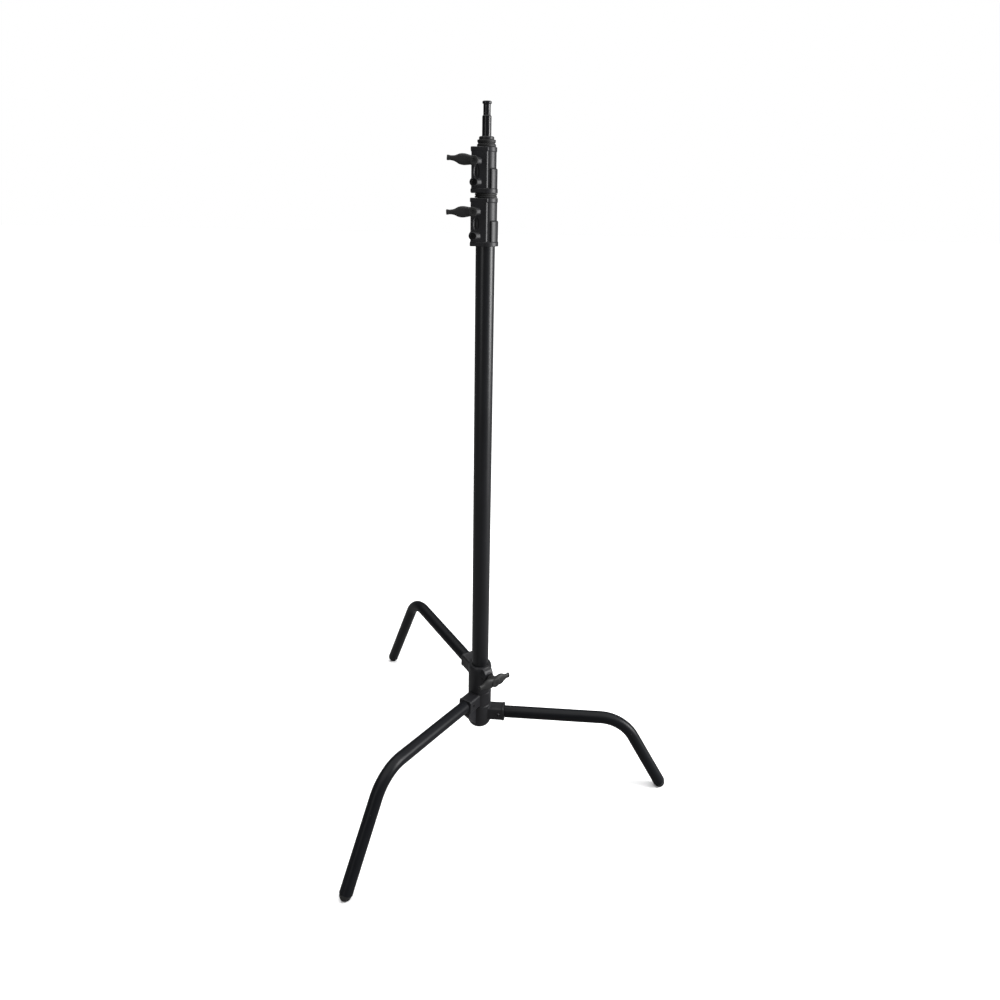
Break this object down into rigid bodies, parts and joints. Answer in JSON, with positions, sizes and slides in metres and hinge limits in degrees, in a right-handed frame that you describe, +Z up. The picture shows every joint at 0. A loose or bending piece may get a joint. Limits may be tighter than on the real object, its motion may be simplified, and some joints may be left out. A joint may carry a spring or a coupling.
{
  "type": "light stand",
  "caption": "Folding steel light stand: bent legs turn round a column, one leg slides up it, two risers telescope and clamp with levers, and a grip pin tops it.",
  "frame": {"origin": "middle of the whole bounding box, on the floor the feet stand on; the column axis stands 76 mm to -X and 19 mm to -Y of it", "axes": "+Z up along the column, +X towards the fixed lowest leg (10.4 degrees off it), -Y towards the side the clamp levers are on"},
  "size_m": [0.6438, 0.7492, 1.357],
  "materials": {
    "column_tube": "satin black powder coat",
    "base_hub": "satin black coated casting",
    "base_set_screw": "zinc plated or bare steel",
    "right_leg_tube": "satin black powder coat",
    "right_leg_foot": "black rubber",
    "right_leg_bolt": "zinc plated or bare steel",
    "lower_collar": "satin black coated casting",
    "lower_bushing": "black nylon",
    "lower_bumper": "black rubber",
    "lower_pinch_bolt": "zinc plated or bare steel",
    "lower_pinch_nut": "zinc plated or bare steel",
    "lower_clamp_nut": "zinc plated or bare steel",
    "middle_hub": "satin black coated casting",
    "front_leg_tube": "satin black powder coat",
    "front_leg_foot": "black rubber",
    "front_leg_bolt": "zinc plated or bare steel",
    "slide_liner": "black nylon",
    "slide_hub": "satin black coated casting",
    "back_leg_tube": "satin black powder coat",
    "back_leg_foot": "black rubber",
    "back_leg_bolt": "zinc plated or bare steel",
    "brake_shoe": "plain brass",
    "slide_lever": "matte black moulded plastic",
    "slide_lever_screw": "zinc plated or bare steel",
    "lower_lever": "matte black moulded plastic",
    "lower_lever_screw": "zinc plated or bare steel",
    "first_glide": "black nylon",
    "first_riser_tube": "satin black powder coat",
    "upper_collar": "satin black coated casting",
    "upper_bushing": "black nylon",
    "upper_bumper": "black rubber",
    "upper_pinch_bolt": "zinc plated or bare steel",
    "upper_pinch_nut": "zinc plated or bare steel",
    "upper_clamp_nut": "zinc plated or bare steel",
    "upper_lever": "matte black moulded plastic",
    "upper_lever_screw": "zinc plated or bare steel",
    "second_glide": "black nylon",
    "second_riser_tube": "satin black powder coat",
    "riser_head": "satin black coated casting",
    "grip_pin": "zinc plated or bare steel",
    "cross_pin": "zinc plated or bare steel"
  },
  "bodies": {
    "column": {"column_tube": "column_tube", "base_hub": "base_hub", "base_set_screw": "base_set_screw", "right_leg_tube": "right_leg_tube", "right_leg_foot": "right_leg_foot", "right_leg_bolt": "right_leg_bolt", "lower_collar": "lower_collar", "lower_bushing": "lower_bushing", "lower_bumper": "lower_bumper", "lower_pinch_bolt": "lower_pinch_bolt", "lower_pinch_nut": "lower_pinch_nut", "lower_clamp_nut": "lower_clamp_nut"},
    "middle_leg": {"middle_hub": "middle_hub", "front_leg_tube": "front_leg_tube", "front_leg_foot": "front_leg_foot", "front_leg_bolt": "front_leg_bolt"},
    "liner": {"slide_liner": "slide_liner"},
    "sliding_leg": {"slide_hub": "slide_hub", "back_leg_tube": "back_leg_tube", "back_leg_foot": "back_leg_foot", "back_leg_bolt": "back_leg_bolt", "brake_shoe": "brake_shoe"},
    "slide_lever": {"slide_lever": "slide_lever", "slide_lever_screw": "slide_lever_screw"},
    "lower_lever": {"lower_lever": "lower_lever", "lower_lever_screw": "lower_lever_screw"},
    "first_glide": {"first_glide": "first_glide"},
    "first_riser": {"first_riser_tube": "first_riser_tube", "upper_collar": "upper_collar", "upper_bushing": "upper_bushing", "upper_bumper": "upper_bumper", "upper_pinch_bolt": "upper_pinch_bolt", "upper_pinch_nut": "upper_pinch_nut", "upper_clamp_nut": "upper_clamp_nut"},
    "upper_lever": {"upper_lever": "upper_lever", "upper_lever_screw": "upper_lever_screw"},
    "second_glide": {"second_glide": "second_glide"},
    "second_riser": {"second_riser_tube": "second_riser_tube", "riser_head": "riser_head", "grip_pin": "grip_pin", "cross_pin": "cross_pin"}
  },
  "joints": [
    {"name": "middle_leg_turn", "type": "hinge", "parent": "column", "child": "middle_leg", "pos_m": [-0.07568, -0.0194, 0.174], "axis": [0, 0, 1], "range_deg": [0, 107]},
    {"name": "sliding_leg_slide", "type": "slide", "parent": "column", "child": "liner", "axis": [0, 0, 1], "range_m": [0, 0.35]},
    {"name": "sliding_leg_turn", "type": "hinge", "parent": "liner", "child": "sliding_leg", "pos_m": [-0.07568, -0.0194, 0.22], "axis": [0, 0, 1], "range_deg": [-127.5, 0]},
    {"name": "slide_lever_turn", "type": "hinge", "parent": "sliding_leg", "child": "slide_lever", "pos_m": [-0.04551, -0.05801, 0.233], "axis": [0.6157, -0.788, 0], "range_deg": [-15, 180]},
    {"name": "lower_lever_turn", "type": "hinge", "parent": "column", "child": "lower_lever", "pos_m": [-0.09798, -0.0614, 1.1745], "axis": [0, -1, 0], "range_deg": [-20, 180]},
    {"name": "first_riser_slide", "type": "slide", "parent": "column", "child": "first_glide", "axis": [0, 0, 1], "range_m": [0, 0.95]},
    {"name": "first_riser_turn", "type": "hinge", "parent": "first_glide", "child": "first_riser", "pos_m": [-0.07568, -0.0194, 0.6], "axis": [0, 0, 1], "continuous": true},
    {"name": "upper_lever_turn", "type": "hinge", "parent": "first_riser", "child": "upper_lever", "pos_m": [-0.09698, -0.0588, 1.2585], "axis": [0, -1, 0], "range_deg": [-20, 180]},
    {"name": "second_riser_slide", "type": "slide", "parent": "first_riser", "child": "second_glide", "axis": [0, 0, 1], "range_m": [0, 0.96]},
    {"name": "second_riser_turn", "type": "hinge", "parent": "second_glide", "child": "second_riser", "pos_m": [-0.07568, -0.0194, 0.7], "axis": [0, 0, 1], "continuous": true}
  ]
}
